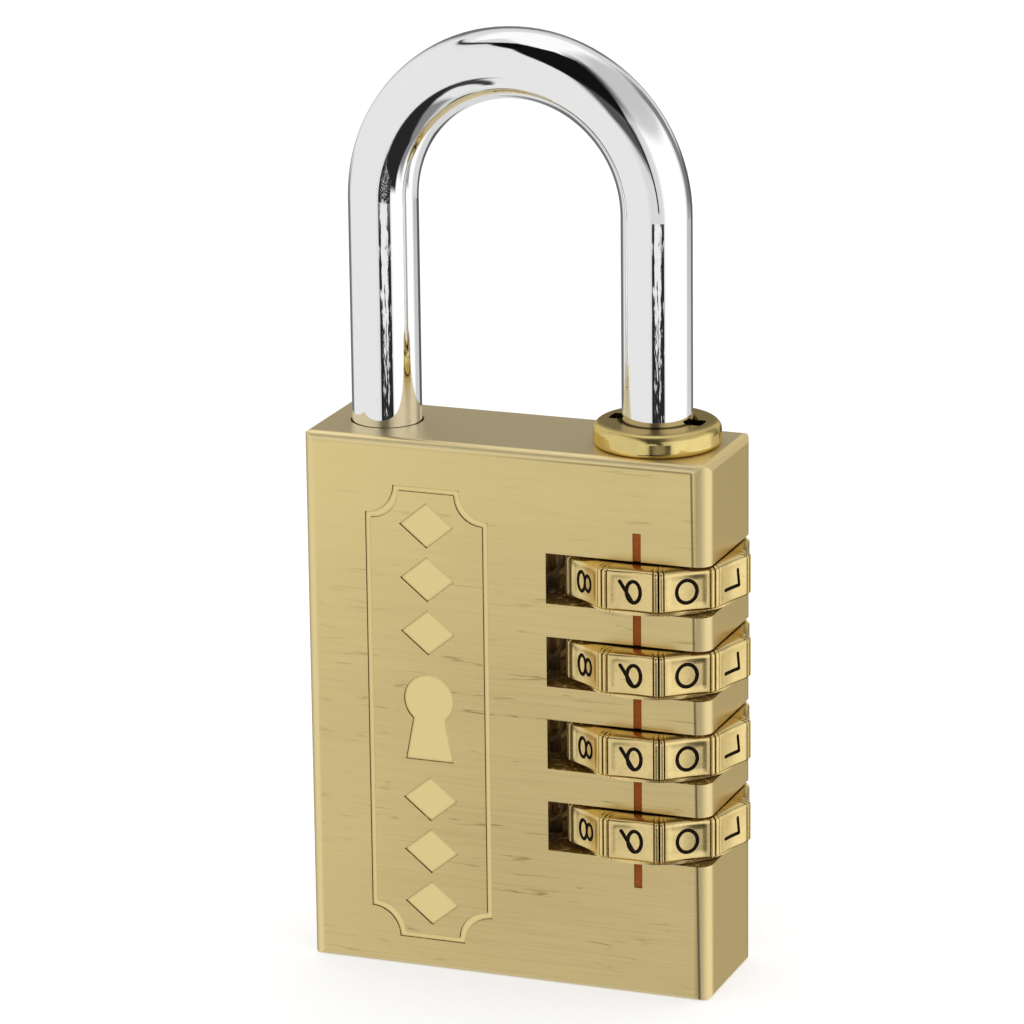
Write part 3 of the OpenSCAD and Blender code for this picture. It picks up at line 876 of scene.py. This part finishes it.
def carved(mesh, cutter_mesh):
    """The mesh less the cutter's solids, whose material stays on the faces that they cut."""
    block = bpy.data.objects.new("block", mesh)
    tool = bpy.data.objects.new("tool", cutter_mesh)
    for made in (block, tool):
        bpy.context.scene.collection.objects.link(made)
    cut = block.modifiers.new("cut", "BOOLEAN")
    cut.object = tool
    cut.solver = "EXACT"
    cut.use_self = True
    cut.material_mode = "TRANSFER"
    bpy.context.view_layer.update()
    ready = block.evaluated_get(bpy.context.evaluated_depsgraph_get())
    result = bpy.data.meshes.new_from_object(ready)
    for made in (block, tool):
        bpy.data.objects.remove(made)
    return result


def polish(mesh, angle=32):
    """Smooth shading, broken at edges sharper than the angle."""
    mesh.shade_smooth()
    mesh.set_sharp_from_angle(angle=math.radians(angle))


def dial_mesh():
    """The first dial in place, in metres."""
    blank = mesh_from("dial_blank", dial_blank)
    blank.materials.append(DIAL_BRASS)
    bore = mesh_from("dial_bore", dial_bore)
    bore.materials.append(DIAL_BRASS)

    def engrave_all(shape):
        for k in range(DIGITS):
            angle = DIGIT_TURN - math.pi / 2 + k * SECTOR
            engraver(shape, angle, digit_strokes((DIGITS - 1 + k) % DIGITS))

    digits = mesh_from("digit_cutters", engrave_all)
    digits.materials.append(DIGIT_PAINT)
    mesh = carved(carved(blank, bore), digits)
    mesh.transform(Matrix.Translation((DIAL_AXIS, 0, DIAL_BASE)))
    mesh.transform(Matrix.Scale(MM, 4))
    polish(mesh)
    return mesh


def make_dials():
    """One mesh, copied to the height of each dial."""
    first = dial_mesh()
    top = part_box("dial_1")[1].z
    for i in range(1, DIALS + 1):
        node = f"dial_{i}"
        mesh = first.copy()
        mesh.transform(Matrix.Translation((0, 0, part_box(node)[1].z - top)))
        dial = bpy.data.objects.new(f"numbered_{node}", mesh)
        bpy.context.scene.collection.objects.link(dial)
        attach(dial, node)
        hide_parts(node)


def coil(node):
    """A coil spring with its CAD shape, as a mesh of its own."""
    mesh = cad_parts[node].data.copy()
    mesh.name = f"live_{node}"
    mesh.materials.clear()
    mesh.materials.append(STEEL)
    polish(mesh, 60)
    made = bpy.data.objects.new(mesh.name, mesh)
    bpy.context.scene.collection.objects.link(made)
    return made


def make_coils():
    """Copies of the two coil springs: the one under the hubs rides the block with a mesh of its own, and
    the other has its place baked into its mesh.
    """
    hub_coil = coil("hub_spring")
    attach(hub_coil, "lock_body")
    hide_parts("hub_spring")
    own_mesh(hub_coil)
    shackle_coil = coil("shackle_spring")
    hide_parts("shackle_spring")
    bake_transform(shackle_coil)


# Where the dials are darker: in the grooves, across half a sector from the middle of a rib pair, and
# with painted shade inwards
MIDDLE_GROOVE = 0.12
SIDE_GROOVE_FROM, SIDE_GROOVE_TO = 0.47, 0.53
SHADE_FROM, SHADE_TO = 1.6, 2.1


def dial_brass():
    """Satin brass, darker in the grooves between the ribs, with painted shade inside the dial."""
    material, graph, shader = surface("numbered_brass")
    shader.inputs["Metallic"].default_value = 1.0
    shader.inputs["Specular Tint"].default_value = BRASS_GRAZING
    place, _ = places(graph)
    x, y, z = graph.axes(place)
    x = graph.minus(x, DIAL_AXIS)
    out = graph.math("SQRT", graph.add(graph.times(x, x), graph.times(y, y)))
    turn = graph.minus(graph.math("ARCTAN2", y, x), DIGIT_TURN - math.pi / 2)
    turn = graph.math("WRAP", turn, SECTOR / 2, -SECTOR / 2)
    across = graph.times(graph.minus(SECTOR / 2, graph.math("ABSOLUTE", turn)), RIM_R)
    middle_groove = graph.ramp(across, MIDDLE_GROOVE, MIDDLE_GROOVE - 0.07)
    side_groove = between(graph, across, SIDE_GROOVE_FROM, SIDE_GROOVE_TO, 0.04)
    groove = graph.math("MAXIMUM", middle_groove, graph.times(side_groove, 0.55))
    # Painted shade towards the axis, on the dial's top face and inside it
    inside = graph.ramp(out, RIM_R - SHADE_FROM, RIM_R - SHADE_TO)
    shade_and_stain = graph.math("MAXIMUM", graph.times(groove, 0.8), inside)
    fine = graph.ramp(graph.noise(graph.stretched(place, (5.0, 5.0, 16.0)), 1.0, 3.0), 0.3, 0.7)
    broad = graph.ramp(graph.noise(place, 0.5, 3.0), 0.2, 0.8)
    pattern = graph.blend(0.3, broad, fine)
    clean = graph.tint(pattern, DIAL_DARK, DIAL_LIGHT)
    stain = graph.ramp(graph.noise(place, 2.2, 4.0, 0.65), 0.5, 0.8, 0.0, 0.22)
    shade_and_stain = graph.math("MAXIMUM", graph.times(shade_and_stain, 0.85), stain)
    graph.feed(shader.inputs["Base Color"], graph.tint(shade_and_stain, clean, PATINA_AND_SHADE))
    graph.feed(shader.inputs["Roughness"], graph.ramp(pattern, 0, 1, 0.28, 0.21))
    roughen(graph, shader, fine, 0.0015, 0.3)
    return material


# Dark, brownish steel for the small parts inside the block
STEEL = plain_metal("dark_steel", STEEL_DARK, STEEL_LIGHT, 0.24, 0.40, 14.0)
DIAL_BRASS = dial_brass()
DIGIT_PAINT = paint("digit_paint", INK_DARK, INK_LIGHT, 0.45)
dress("lock_body", body_brass())
dress("bottom_plate", plain_metal("plate_brass", BRASS_DARK, BRASS_LIGHT, 0.25, 0.36, 6.0))
dress("shackle", chrome())
dress("shackle_collar", turned_brass())
dress("index_marks", paint("red_paint", RED_DARK, RED_LIGHT, 0.5))
for i in range(1, DIALS + 1):
    dress(f"hub_{i}", STEEL)
for node in ("collar_pin", "click_spring", "thrust_washer", "spring_post", "plate_pins"):
    dress(node, STEEL)
make_dials()
make_coils()
